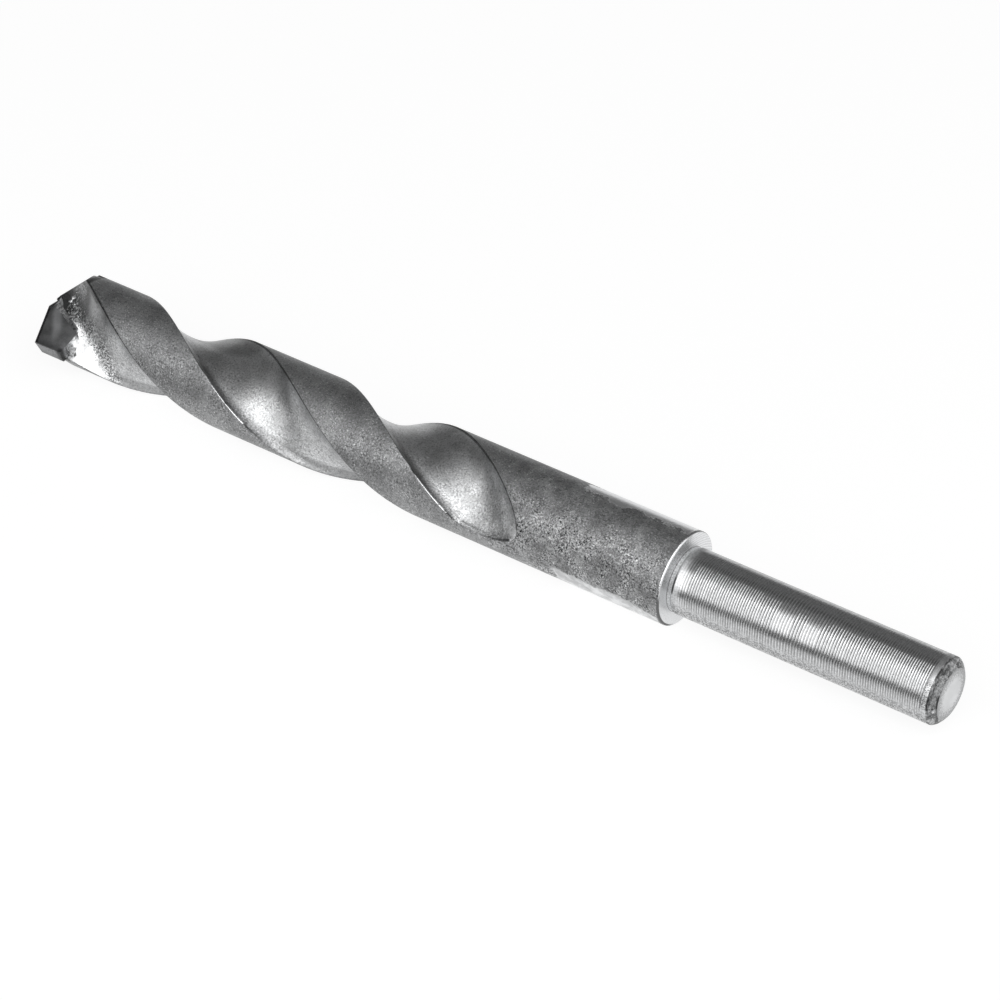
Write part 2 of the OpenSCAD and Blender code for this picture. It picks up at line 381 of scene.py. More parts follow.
def cut(obj, cutters, material):
    """Cuts the solids away one by one; the faces that they leave take the material."""
    for c in cutters:
        c.data.materials.append(material)
        m = obj.modifiers.new("cut", "BOOLEAN")
        m.material_mode = "TRANSFER"
        m.operation, m.solver, m.object = "DIFFERENCE", "MANIFOLD", c
        apply_modifiers(obj)
        bpy.data.objects.remove(c)


def smooth(obj, angle):
    obj.data.shade_smooth()
    obj.data.set_sharp_from_angle(angle=math.radians(angle))


# Carbide plate and braze
MERGE = 1e-6


def copy_node(name, node):
    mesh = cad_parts[node].data.copy()
    bm = bmesh.new()
    bm.from_mesh(mesh)
    bmesh.ops.remove_doubles(bm, verts=bm.verts, dist=MERGE)
    bmesh.ops.dissolve_limit(bm, angle_limit=math.radians(0.5), verts=bm.verts, edges=bm.edges)
    bm.to_mesh(mesh)
    bm.free()
    obj = bpy.data.objects.new(name, mesh)
    bpy.context.scene.collection.objects.link(obj)
    return obj


def face_outward(obj, merge=False):
    bm = bmesh.new()
    bm.from_mesh(obj.data)
    if merge:
        bmesh.ops.remove_doubles(bm, verts=bm.verts, dist=MERGE)
    bmesh.ops.recalc_face_normals(bm, faces=bm.faces)
    bm.to_mesh(obj.data)
    bm.free()
    return obj


def bumps(size_and_scale, seed, a, z):
    """Smooth lumps of a size and scale over a surface."""
    size, scale = size_and_scale
    return size * noise.noise(Vector((a * scale, z * scale, seed)))


# Bead along the seam: heights, step, width, its spread and how much it waves
BEAD_FROM, BEAD_TO, BEAD_STEP = 0.9, PLATE_H - 0.1, 0.18
BEAD_W, BEAD_WAVE, BEAD_SPREAD = 1.05, 0.35, 0.08
# Least size and random part of its foot on the plate and of its lift over the steel; how far it reaches into both
BEAD_FOOT, BEAD_LIFT, BEAD_ROOTS, BEAD_TAIL = (0.22, 0.1), (0.1, 0.03), (0.35, 0.3, 0.05), 0.01


def braze_bead(name, half, seed):
    """Fillet of braze along the corner between the leading face of the plate and the floor of the gash."""
    rng = np.random.default_rng(seed)
    rings = []
    for z in np.arange(BEAD_FROM, BEAD_TO, BEAD_STEP):
        p, keys = flute_curve(z)
        q = p[: keys[1]] @ flute_turn(z)
        above = q[:, 1] - PLATE_T / 2
        idx = np.flatnonzero((above[:-1] > 0) & (above[1:] <= 0))
        if not len(idx):
            continue
        i = idx[-1]
        t = above[i] / (above[i] - above[i + 1])
        seam = q[i] + (q[i + 1] - q[i]) * t
        s = lengths_along(q)
        s_seam = lerp(s[i], s[i + 1], t)
        width = BEAD_W + BEAD_WAVE * noise.noise(Vector((z * 0.9, seed, 0)))
        width += rng.uniform(-BEAD_SPREAD, BEAD_SPREAD)
        tail, near = (resample(q, s, np.array([max(s_seam - width * k, 0)]))[0] for k in (1, 0.5))
        foot = BEAD_FOOT[0] + BEAD_FOOT[1] * rng.uniform()
        lift = BEAD_LIFT[0] + BEAD_LIFT[1] * rng.uniform()
        near_root, seam_root, seam_back = BEAD_ROOTS
        section = (seam - [foot, 0], seam + [0, lift], near + [0, lift], tail + [0, BEAD_TAIL],
                   near - [0, near_root], seam - [seam_back, seam_root])
        rings.append(np.array([[*point, z] for point in section]))
    if half:
        rings = [r * [-1, -1, 1] for r in rings]
    n = len(rings[0])
    faces = [f[::-1] for f in tube_faces([n] * len(rings))]
    faces.append(tuple(range(n)))
    faces.append(tuple(reversed(range((len(rings) - 1) * n, len(rings) * n))))
    return mesh_object(name, np.concatenate(rings), faces)


def gash_b(z, a):
    """Height over the plate's middle plane at which the gash of the near half lies, at a along the plate."""
    q = flute_curve(z)[0] @ flute_turn(z)
    q = q[np.hypot(q[:, 0], q[:, 1]) < BODY_R + 0.5]
    order = np.argsort(q[:, 0])
    return float(np.interp(a, q[order, 0], q[order, 1]))


# Fillet at the plate's foot: range along the plate, rows, points in a row, and its reach over the steel
FOOT_FROM, FOOT_TO, FOOT_ROWS, FOOT_POINTS = -4.0, -8.1, 22, 12
FOOT_REACH, FOOT_NARROWS = 1.75, 0.6
# How steeply its top falls and how much more at the far end; size and scale of its waves, lumps and grit
FOOT_FALL, FOOT_WAVE, FOOT_LUMPS, FOOT_GRIT = (0.75, 0.3), (0.18, 1.3), (0.06, 2.2), (0.02, 6)
# Overlap with the plate, and depths under the steel at the top, at the tail and behind the plate
FOOT_OVER, FOOT_SINK, FOOT_TAIL, FOOT_BACK = 0.02, 0.12, 1.2, 0.1


def braze_foot(name, half, seed):
    """Lumpy fillet of braze between the foot of the plate and the gash."""
    rows = []
    edge, foot_z = PLATE_T / 2 + FOOT_OVER, PLATE_H - FOOT_OVER
    wave, wave_scale = FOOT_WAVE
    for a in np.linspace(FOOT_FROM, FOOT_TO, FOOT_ROWS):
        t = (a - FOOT_FROM) / (FOOT_TO - FOOT_FROM)
        reach = (FOOT_REACH - FOOT_NARROWS * t) * (1 + wave * noise.noise(Vector((a * wave_scale, seed, 0.5))))
        row = []
        for k in np.linspace(0, 1, FOOT_POINTS):
            z = foot_z + reach * k
            low = gash_b(z, a) - FOOT_SINK
            fill = lerp(edge, low, min(1.0, k ** (FOOT_FALL[0] + FOOT_FALL[1] * t)))
            lump = bumps(FOOT_LUMPS, seed, a, z) + bumps(FOOT_GRIT, seed, a, z)
            b = max(fill + lump * math.sin(math.pi * min(k + 0.05, 1)), low)
            row.append((a, min(b, edge), z))
        row.append((a, gash_b(PLATE_H + reach, a) - FOOT_TAIL, PLATE_H + reach))
        row.append((a, -PLATE_T / 2 + FOOT_BACK, foot_z))
        rows.append(row)
    if half:
        rows = [[(-a, -b, z) for a, b, z in row] for row in rows]
    n = len(rows[0])
    faces = tube_faces([n] * len(rows))
    faces.append(tuple(reversed(range(n))))
    faces.append(tuple(range((len(rows) - 1) * n, len(rows) * n)))
    return face_outward(mesh_object(name, [p for row in rows for p in row], faces))


# Lumps on the gash: height, place along and square to the plate, half sizes along, across and out
DROPS = ((4.45, 2.15, 2.85, 0.75, 0.62, 0.20), (3.75, 1.35, 2.05, 0.55, 0.45, 0.17),
         (5.3, 0.75, 2.38, 0.26, 0.20, 0.16), (6.9, -0.55, 2.35, 0.30, 0.18, 0.15),
         (7.9, -1.35, 2.35, 0.34, 0.20, 0.16))
DROP_ROWS, DROP_COLUMNS, DROP_ROUGH, DROP_SCALE = 9, 16, 0.6, 2.9
DROP_OUT = Vector((-0.05, 0.80, -0.38)).normalized()


def braze_drops(name, half, seed):
    """Small lumps of braze on the gash beside the seam."""
    verts, faces = [], []
    side = DROP_OUT.cross(Vector((0, 0, 1))).normalized()
    along = side.cross(DROP_OUT)
    for x, a, b, long, wide, high in DROPS:
        centre = Vector((a, b, x))
        base = len(verts)
        for i in range(DROP_ROWS + 1):
            polar = math.pi * i / DROP_ROWS
            for j in range(DROP_COLUMNS):
                turn = 2 * math.pi * j / DROP_COLUMNS
                d = (along * (long * math.cos(polar)) + side * (wide * math.sin(polar) * math.cos(turn))
                     + DROP_OUT * (high * math.sin(polar) * math.sin(turn)))
                d *= 1 + DROP_ROUGH * noise.noise((centre + d) * DROP_SCALE + Vector((seed, 0, 0)))
                q = centre + d
                verts.append((-q.x, -q.y, q.z) if half else q)
        for i in range(DROP_ROWS):
            for j in range(DROP_COLUMNS):
                k = (j + 1) % DROP_COLUMNS
                low, top = base + i * DROP_COLUMNS, base + (i + 1) * DROP_COLUMNS
                faces.append((low + j, low + k, top + k, top + j))
    return face_outward(mesh_object(name, verts, faces), merge=True)


# Materials
class Value:
    """A number in a shader, which is added, subtracted and multiplied like a plain one."""

    def __init__(self, nodes, socket):
        self.nodes, self.socket = nodes, socket

    def __add__(self, other):
        return self.nodes.math("ADD", self, other)

    def __sub__(self, other):
        return self.nodes.math("SUBTRACT", self, other)

    def __rsub__(self, other):
        return self.nodes.math("SUBTRACT", other, self)

    def __mul__(self, other):
        return self.nodes.math("MULTIPLY", self, other)

    def __abs__(self):
        return self.nodes.math("ABSOLUTE", self)

    __radd__, __rmul__ = __add__, __mul__

    def ramp(self, low, high, to_low=0.0, to_high=1.0, kind="SMOOTHSTEP"):
        """to_low up to low, to_high from high on, and a smooth change between; low may be the larger one."""
        inputs = {0: self, 1: low, 2: high, 3: to_low, 4: to_high}
        return Value(self.nodes, self.nodes.add("MapRange", interpolation_type=kind, inputs=inputs).outputs[0])

    def within(self, start, full, full_end, end):
        """1 from full to full_end, falling to 0 at start and end."""
        return self.ramp(start, full) * self.ramp(end, full_end)

    def mix(self, a, b):
        """As a mask: a where it is 0, b where it is 1."""
        inputs = {0: self, 2: a, 3: b}
        return Value(self.nodes, self.nodes.add("Mix", data_type="FLOAT", inputs=inputs).outputs[0])

    def darker(self, mask, by):
        return self * (1 - mask * by)


class Nodes:
    """Short way to lay out a shader in the node tree of a material or a world."""

    def __init__(self, owner, output):
        self.owner = owner
        owner.use_nodes = True
        self.tree = owner.node_tree
        self.tree.nodes.clear()
        self.out = self.add(output)

    def add(self, kind, **values):
        node = self.tree.nodes.new("ShaderNode" + kind)
        inputs = values.pop("inputs", {})
        for k, v in values.items():
            setattr(node, k, v)
        for k, v in inputs.items():
            if isinstance(v, Value):
                v = v.socket
            if isinstance(v, bpy.types.NodeSocket):
                self.tree.links.new(v, node.inputs[k])
            else:
                node.inputs[k].default_value = v
        return node

    def finish(self, shader):
        self.tree.links.new(shader.outputs[0], self.out.inputs[0])
        return self.owner

    def math(self, op, *inputs):
        return Value(self, self.add("Math", operation=op, inputs=dict(enumerate(inputs))).outputs[0])

    def most(self, a, b):
        return self.math("MAXIMUM", a, b)

    def split(self, vector):
        return [Value(self, s) for s in self.add("SeparateXYZ", inputs={0: vector}).outputs]

    def join(self, x, y, z):
        return self.add("CombineXYZ", inputs={0: x, 1: y, 2: z}).outputs[0]

    def seen(self):
        """1 for rays that show the background: from the camera, mirrored or let through."""
        rays = self.add("LightPath").outputs
        mirrored = self.most(rays["Is Glossy Ray"], rays["Is Transmission Ray"])
        return self.most(rays["Is Camera Ray"], mirrored)


class BitNodes(Nodes):
    """Shader of a piece of the bit, with the places on it in millimetres.

    x runs along the axis from the point, y and z across it, and angle in degrees from +y toward +z: 90 is the
    top, and the photo looks at the bit from 136. u and v lie in the frame of the nearer flute: u out from the
    axis, v across, above zero toward the leading wall. a runs along the plate and b square to it."""

    def __init__(self, name):
        super().__init__(bpy.data.materials.new(name), "OutputMaterial")
        self.coord = self.add("TexCoord").outputs["Object"]
        x, y, z = self.split(self.coord)
        self.x, self.y, self.z = x * 1000.0 + OVERALL_L / 2, y * 1000.0, z * 1000.0 - BODY_R
        self.radius = self.math("SQRT", self.y * self.y + self.z * self.z)
        self.angle = self.math("ARCTAN2", self.z, self.y) * (180 / math.pi)
        turn = self.x * math.radians(360 / LEAD) + math.radians(ROLL + FLUTE_START)
        turn -= self.x.ramp(RUNOUT_Z, FLUTE_L, 0.0, math.radians(RUNOUT_LAG), "LINEAR")
        u, v = self.turned(self.math("COSINE", turn), self.math("SINE", turn))
        a, b = self.turned(math.cos(PLATE_TURN), math.sin(PLATE_TURN))
        side = self.math("SIGN", u)
        self.u, self.v, self.a, self.b = abs(u), v * side, a * side, b * side

    def turned(self, co, si):
        return self.y * co + self.z * si, self.z * co - self.y * si

    def noise(self, scale, detail, rough, coord=None):
        inputs = {"Vector": coord or self.coord, "Scale": scale, "Detail": detail, "Roughness": rough}
        return Value(self, self.add("TexNoise", inputs=inputs).outputs[0])

    def waves(self, scale, distortion, detail, kind, way):
        inputs = {"Vector": self.coord, "Scale": scale, "Distortion": distortion, "Detail": detail}
        side = {kind.lower() + "_direction": way}
        return Value(self, self.add("TexWave", wave_type=kind, inputs=inputs, **side).outputs[1])

    def metal(self, value, tint, rough, height, bump, **normal):
        """Metal in a grey, with the height as bump."""
        r, g, b = (value * t for t in tint)
        colour = self.add("CombineColor", inputs={0: r, 1: g, 2: b}).outputs[0]
        bump = self.add("Bump", inputs={"Strength": bump[0], "Distance": bump[1], "Height": height, **normal})
        return self.finish(self.add("BsdfPrincipled", inputs={
            "Base Color": colour, "Metallic": 1.0, "Roughness": rough, "Normal": bump.outputs[0]}))


# Greys and tints of the metals, as base colours
LAND_GREY, LAND_SPECK, FLUTE_GREY, FLUTE_SPECK = 0.325, 0.66, 0.55, 0.75
# Painted shade: the groove grey and the shaded face grey
SHANK_GREY, GROOVE_SHADE_GREY, FACE_GREY, FACE_SHADED = 0.82, 0.40, 0.84, 0.52
# 0.97 is a painted highlight on edges and the rim crest, 0.14 painted shade on the rim, 0.42 a painted sheen on
# carbide
HIGHLIGHT_GREY, RIM_DARK, CARBIDE_GREY, CARBIDE_SHEEN_GREY, BRAZE_GREY, BEAD_GREY = 0.97, 0.14, 0.25, 0.42, 0.66, 0.95
STEEL_TINT, CARBIDE_TINT = (0.99, 1.0, 1.01), (0.99, 1.0, 1.02)
# Roughness of the parts of the steel, and of the other surfaces
LAND_ROUGH, FLUTE_ROUGH, MOTTLED_ROUGH, WETTED_ROUGH, HIGHLIGHT_ROUGH = 0.50, 0.31, 0.3, 0.34, 0.25
PATCH_ROUGH, PLAIN_ROUGH, GROUND_ROUGH, CARBIDE_ROUGH, BRAZE_ROUGH = 0.30, 0.45, 0.5, 0.4, 0.33
# Noises over the surface: scale per metre, detail and roughness
FINE, GRAIN, SPARK, SPECKS = (5200.0, 2.0, 0.6), (2600.0, 3.0, 0.75), (3000.0, 3.0, 0.7), (3600.0, 2.0, 0.6)
RAGGED, LUMPS, WOBBLE, CLUMPS = (3300.0, 3.0, 0.7), (2300.0, 3.0, 0.75), (420.0, 4.0, 0.62), (330.0, 3.0, 0.65)
CLOUD, GROUND_FINE, GROUND_CLOUD = (160.0, 4.0, 0.6), (4200.0, 2.0, 0.6), (500.0, 3.0, 0.6)
CARBIDE_CLOUD, BRAZE_LUMPS = (300.0, 3.0, 0.5), (1500.0, 4.0, 0.65)
# Noises in millimetres, drawn out round the axis by the share of y and z that they keep
STREAKS, STREAK_KEEP, SCUFFS, SCUFF_KEEP = (2.4, 4.0, 0.7), 0.02, (1.1, 4.0, 0.75), 0.3
# Bump of each metal: strength and distance in metres
STEEL_BUMP, GROUND_BUMP, CARBIDE_BUMP, BRAZE_BUMP = (0.45, 7e-5), (0.3, 5e-5), (0.18, 4e-5), (0.5, 12e-5)
# The edge of the wetted area is slanted: it lies at a constant x + WET_SLANT * a. One dark pit beside the plate
WET_SLANT, PIT_X, PIT_A = 1.9, 10.9, -7.6
# Places along the axis: gash, last turn's low wall rolled over, and the bright patches with their ragged edges
GASH_END, ROLLED, PATCH_FROM, PATCH_TO = (21.0, 15.0), (99.5, 102.0, 110.5, 113.5), 115.5, (145.6, 145.2)
TOP_PATCH_ANGLE, LOW_PATCH_ANGLE = 50.0, -176.0
# and of the lit last low wall, the shaded top of the far wall, the shaded nose, and the start of the edge lines
LOW_WALL_X, FAR_TOP_X, NOSE_X, EDGE_LINE_X = (101.3, 104.3), (26.0, 34.0, 54.0, 64.0), (5.5, 9.5), (5.0, 8.0)
# Radii of the dark line along the edges of the flutes, and of the shaded top of the wall
EDGE_LINE_R, WALL_TOP_R = (8.60, 8.72, 8.96, 9.0), (7.3, 8.0)
# Windows round the axis in degrees, as start, full, full end and end
FAR_TOP_ANGLES, WALL_TOP_ANGLES = (0.0, 15.0, 56.0, 78.0), (60.0, 80.0, 130.0, 144.0)
LOW_EDGE_ANGLES, HIGHLIGHT_ANGLES = (-174.0, -160.0, -80.0, -60.0), (136.0, 144.0)
FOOT_LINE_ANGLES, CREST_ANGLES = (90.0, 105.0, 164.0, 172.0), (82.0, 96.0, 150.0, 168.0)
# How much darker: flutes, lines along edges, foot and rings of the shank, pits, rough band, notch; and what fades it
FAR_TOP_SHADE, WALL_TOP_SHADE, EDGE_SHADE, HEEL_SHADE, FOOT_SHADE, RING_SHADE = 0.42, 0.72, 0.7, 0.72, 0.88, 0.5
PIT_SHADE, BAND_SHADE, NOTCH_SHADE, LOW_EDGE_FADE = 0.92, 0.7, 0.65, 0.75


def steel_masks(n):
    """Noises and the parts of the steel, kept on n for the steps that follow."""
    n.fine, n.grain, n.spark, n.cloud, n.wobble = (n.noise(*k) for k in (FINE, GRAIN, SPARK, CLOUD, WOBBLE))
    n.wave = n.wobble - 0.5
    n.in_flute = n.radius.ramp(BODY_R - 0.10, BODY_R - 0.22) * n.x.ramp(FLUTE_L + 1, FLUTE_L)
    n.on_shank = n.x.ramp(SHOULDER_Z - 0.15, SHOULDER_Z - 0.02)
    # Upper wall of the last turn, where it rolls over into the land at the low edge
    n.low_wall = n.x.ramp(*LOW_WALL_X) * n.v.ramp(0.0, 1.0) * n.y.ramp(-3.0, -5.0) * n.z.ramp(0.6, -1.0)
    n.edge_line = n.radius.within(*EDGE_LINE_R) * n.x.within(*EDGE_LINE_X, FLUTE_L, FLUTE_L + 0.6)
    n.rim = n.x.ramp(SHOULDER_Z - 0.34, SHOULDER_Z - 0.26) * n.radius.ramp(8.5, 8.6)
    n.low_side = n.z.ramp(1.0, -4.0)
    # Gash: a bright wetted area beside the foot of the plate, and a rough mottled area beside the seam
    ragged = (n.noise(*RAGGED) - 0.5) * 11.0
    n.gash = n.x.ramp(*GASH_END) * n.in_flute
    slant = n.a * WET_SLANT + n.x
    n.wetted = (slant + n.wave * 2.0 + ragged).ramp(4.5, 3.7) * (n.a + ragged * 0.3).ramp(-2.0, -3.0) * n.gash
    n.mottled = (n.b + ragged * 0.35).ramp(5.2, 2.6) * (n.a + ragged * 0.3).ramp(-3.6, -2.4) * n.gash
    n.mottled *= n.x.ramp(3.4, 4.4)
    n.fringe = (slant + n.wave * 3.0).within(2.8, 4.2, 6.8, 9.0) * n.a.ramp(-1.5, -3.0) * n.in_flute
    n.fringe *= n.x.ramp(22.0, 18.0)
    # Bright patches near the shoulder, at the top and at the low side
    top_edge = n.angle - (n.wobble * 44.0 + n.spark * 14.0 + TOP_PATCH_ANGLE)
    top_patch = top_edge.ramp(1.5, -1.5) * (n.angle + n.wobble * 40.0).ramp(22.0, 25.0)
    low_edge = n.angle - (n.wobble * 20.0 + LOW_PATCH_ANGLE + n.x.ramp(138.0, 145.5, 0.0, 9.0, "LINEAR"))
    low_patch = low_edge.ramp(-1.5, 1.5) * n.angle.ramp(-80.0, -90.0)
    along = (n.x - (n.wobble * 14.0 + PATCH_FROM)).ramp(0.0, 1.2)
    n.patch = n.most(top_patch, low_patch) * along * n.x.ramp(*PATCH_TO)


def paint_blasted(n):
    """Blasted grain: dark pits and light specks on grey, lighter in the flutes; painted shade on the flute walls."""
    n.tone = n.grain.ramp(0.36, 0.52, 0.62, 1.0) * n.cloud.ramp(0.3, 0.7, 0.80, 1.20)
    specks = n.noise(*SPECKS).ramp(0.60, 0.68)
    flute = n.tone * specks.mix(FLUTE_GREY, FLUTE_SPECK)
    # Painted shade on the leading walls of the flutes, left off the lit low wall; painted shade at the tops of walls
    flute *= n.low_wall.mix(n.v.ramp(4.4, 5.6, 1.0, 0.62), 1.0)
    far_top = n.angle.within(*FAR_TOP_ANGLES) * n.x.within(*FAR_TOP_X)
    wall_top = n.v.ramp(3.0, 4.0) * n.radius.ramp(*WALL_TOP_R) * n.angle.within(*WALL_TOP_ANGLES)
    flute = flute.darker(far_top, FAR_TOP_SHADE).darker(wall_top, WALL_TOP_SHADE)
    return n.in_flute.mix(n.tone * specks.mix(LAND_GREY, LAND_SPECK), flute)


def paint_gash(n, value):
    """Dark ground steel, mottled beside the seam, with a speckled fringe round the bright wetted area."""
    high = n.b.ramp(3.2, 5.0) * n.x.ramp(16.0, 13.0) * n.most(n.radius.ramp(7.3, 8.3), n.x.ramp(11.5, 9.0))
    near_nose = n.x.ramp(9.5, 7.0, 1.0, 2.3) * n.x.ramp(11.5, 16.5, 1.0, 1.6)
    smooth_part = n.x.ramp(4.2, 8.0, 0.12, 0.17) * n.x.ramp(9.5, 13.5, 1.0, 2.5)
    ground = high.mix(smooth_part, n.spark.ramp(0.40, 0.62, 0.04, 0.16) * near_nose)
    value = (n.gash * high.mix(0.92, 1.0)).mix(value, n.tone * ground)
    lumps = n.noise(*LUMPS)
    by_seam = n.b.ramp(3.4, 1.9) * n.x.ramp(4.6, 6.5, 0.3, 1.0)
    blotch = (lumps + by_seam * 0.10).ramp(0.54, 0.66, 0.13, 1.0) * lumps.ramp(0.36, 0.42, 0.4, 1.0)
    value = n.mottled.mix(value, blotch)
    fringe = n.fringe * n.wobble.ramp(0.40, 0.60, 0.95, 0.45)
    value = fringe.mix(value, n.spark.ramp(0.42, 0.60, 0.12, 0.76))
    value = n.wetted.mix(value, n.grain.ramp(0.3, 0.5, 0.88, 0.98))
    pit = abs(n.x - PIT_X) + abs(n.a - PIT_A) + n.wave * 1.2
    return value.darker(pit.ramp(0.65, 0.25) * n.y.ramp(-2.0, -4.0) * n.in_flute, PIT_SHADE)


def paint_sparkle(n, value):
    """Coarse sparkle of the blasting as painted glints, weak on top, clouded near the shoulder; the bright patches.
    """
    # Painted glints: the sparkle's strength is set by the angle round the axis
    sparkle = abs(n.angle).ramp(102.0, 140.0, 0.25, 1.0) * n.in_flute.mix(n.x.ramp(108.0, 120.0, 3.2, 5.6), 2.2)
    sparkle *= n.noise(*CLUMPS).ramp(0.40, 0.60, 0.5, 1.35)
    value *= (n.spark - 0.5) * sparkle + 1.0
    value *= n.x.ramp(100.0, 112.0).mix(1.0, n.wobble.ramp(0.36, 0.64, 0.82, 1.17))
    patch_grey = n.grain.ramp(0.3, 0.5, 0.74, 0.82)
    patch_grey *= n.angle.ramp(30.0, 0.0).mix(1.0, n.wobble.ramp(0.35, 0.65, 0.6, 1.0))
    return n.patch.mix(value, patch_grey)


def paint_edges(n, value):
    """Painted shade: lands at the nose, lines along the edges of the flutes; painted highlight: the leading edge."""
    value *= n.in_flute.mix(n.x.ramp(*NOSE_X, 0.35, 1.0), 1.0)
    # Painted shade lines along the edges of the flutes, faded on the lower leading edges and on the lit low wall
    faded = n.v.ramp(-0.5, 0.5) * n.angle.within(*LOW_EDGE_ANGLES)
    faded = n.most(faded, n.low_wall * n.x.ramp(111.0, 107.0, 0.3, 1.1))
    value = (faded * n.edge_line * LOW_EDGE_FADE).mix(value.darker(n.edge_line, EDGE_SHADE), value)
    # Painted shade line beside the heel of the flutes near the point
    from_heel = n.math("ARCTAN2", n.v, n.u) * (180 / math.pi) + (90 - LAND_ANGLE / 2 + 0.6)
    heel_line = abs(from_heel + n.wave * 3.0).ramp(n.x.ramp(12.0, 22.0, 2.4, 1.4), 0.6)
    heel_line *= n.x.ramp(30.0, 20.0) * n.radius.ramp(7.0, 7.5) * n.wobble.ramp(0.38, 0.54, 0.3, 1.0)
    # Painted highlight along the leading edge, on the side where the light falls
    n.worn = n.edge_line * n.v.ramp(-0.5, 0.5) * n.angle.ramp(*HIGHLIGHT_ANGLES) * n.wobble.ramp(0.40, 0.50)
    return n.worn.mix(value.darker(heel_line, HEEL_SHADE), HIGHLIGHT_GREY)


def paint_shank(n, value):
    """Turned shank with painted light: grooves, streaks round the axis, a speckled lower side, relief at its root.
    """
    n.streak = n.noise(*STREAKS, n.join(n.x, n.y * STREAK_KEEP, n.z * STREAK_KEEP))
    # Painted shade in the grooves, weaker on the lower side
    groove = (SHANK_R - n.radius).ramp(0.010, 0.045).darker(n.low_side, 0.6)
    shank = n.streak.ramp(0.3, 0.7, 0.92, 1.06) * groove.mix(SHANK_GREY, GROOVE_SHADE_GREY)
    band = n.x.ramp(BEVEL_Z - 1.5, BEVEL_Z - 1.2) * n.angle.ramp(126.0, 138.0)
    shank = shank.darker(band * n.fine.ramp(0.62, 0.38), BAND_SHADE)
    # Painted shade on the far side and the top of the shank and on its lower half; painted glints speckle the lower
    # side
    toward = n.angle.ramp(35.0, 75.0, 0.32, 0.72) * n.angle.ramp(96.0, 110.0, 1.0, 1.39)
    shank *= n.angle.ramp(-100.0, -110.0).mix(toward, 1.0) * n.z.ramp(1.5, -2.5, 1.0, 0.55)
    shank *= n.low_side.mix(n.grain.ramp(0.34, 0.60, 0.82, 1.10), n.spark.ramp(0.42, 0.58, 0.22, 1.5))
    value = n.on_shank.mix(value, shank)
    # Painted shade in the relief at the root, deepest by the shoulder, and a painted shade line where the relief
    # ends
    root = n.on_shank * n.x.ramp(SHOULDER_Z + RELIEF_W + 0.15, SHOULDER_Z + RELIEF_W - 0.1)
    root_value = n.x.ramp(SHOULDER_Z + 0.04, SHOULDER_Z + 0.16, 0.3, 0.74)
    root_value *= n.spark.ramp(0.38, 0.60, 0.75, 1.15)
    foot_line = n.x.within(SHOULDER_Z + 0.82, SHOULDER_Z + 0.94, SHOULDER_Z + 1.2, SHOULDER_Z + 1.35)
    foot_line *= n.angle.ramp(128.0, 146.0, 0.35, 1.0) * n.angle.within(*FOOT_LINE_ANGLES)
    return root.mix(value, root_value).darker(foot_line, FOOT_SHADE)


def paint_shoulder(n, value):
    """Turned face of the shoulder, shaded on one side, and its rim: painted highlight at the crest, shade below."""
    shaded = n.angle.ramp(70.0, 95.0) * (n.angle + n.wave * 30.0).ramp(166.0, 142.0)
    face = shaded.mix(FACE_GREY, FACE_SHADED)
    face *= shaded.mix(n.spark.ramp(0.34, 0.50, 0.86, 1.02), n.spark.ramp(0.38, 0.60, 0.6, 1.25))
    # Painted shade in the corner where the face meets the shank
    face *= n.radius.ramp(6.20, 6.32, 0.5, 1.0)
    face *= n.waves(640.0, 0.6, 1.0, "RINGS", "X").ramp(0.0, 1.0, 0.86, 1.04)
    value = (n.on_shank * n.x.ramp(SHOULDER_Z + 0.06, SHOULDER_Z + 0.03)).mix(value, face)
    # Painted highlight along the crest of the rim, painted shade on the rim below it
    crest = n.angle.within(*CREST_ANGLES) * n.radius.ramp(8.72, 8.80)
    below = n.most(n.angle.ramp(-110.0, -130.0), n.angle.ramp(165.0, 178.0))
    return (n.rim * crest).mix((n.rim * below).mix(value, RIM_DARK), HIGHLIGHT_GREY)


def paint_end(n, value):
    """Scuffed bevel, lighter and darker by side as painted light, with two painted shade rings; the flat end face.
    """
    scuffs_and_light = n.noise(*SCUFFS, n.join(n.x, n.y * SCUFF_KEEP, n.z * SCUFF_KEEP)).ramp(0.40, 0.60, 0.10, 0.48)
    # Painted light on the bevel: darker from 95 degrees round to the front, lighter from -165 degrees
    scuffs_and_light *= n.angle.ramp(70.0, 95.0, 1.0, 0.7) + n.angle.ramp(-150.0, -165.0, 0.0, 0.6)
    at_end = n.x.ramp(BEVEL_Z - 0.25, BEVEL_Z - 0.15)
    value = at_end.mix(value, scuffs_and_light * n.spark.ramp(0.36, 0.62, 0.55, 1.35))
    # Two painted shade rings: at the start of the bevel and next to the end face
    for at in (BEVEL_Z + 0.03, OVERALL_L - 0.12):
        ring = abs(n.x + n.wave * 0.25 - at).ramp(0.17, 0.05) * n.wobble.ramp(0.44, 0.56)
        value = value.darker(ring, RING_SHADE)
    face = n.cloud.ramp(0.3, 0.7, 0.62, 0.74)
    face *= (n.radius * n.spark.ramp(0.38, 0.60, 1.25, 0.8)).ramp(2.8, 4.4, 1.0, 0.55)
    return n.x.ramp(OVERALL_L - 0.10, OVERALL_L - 0.05).mix(value, face)


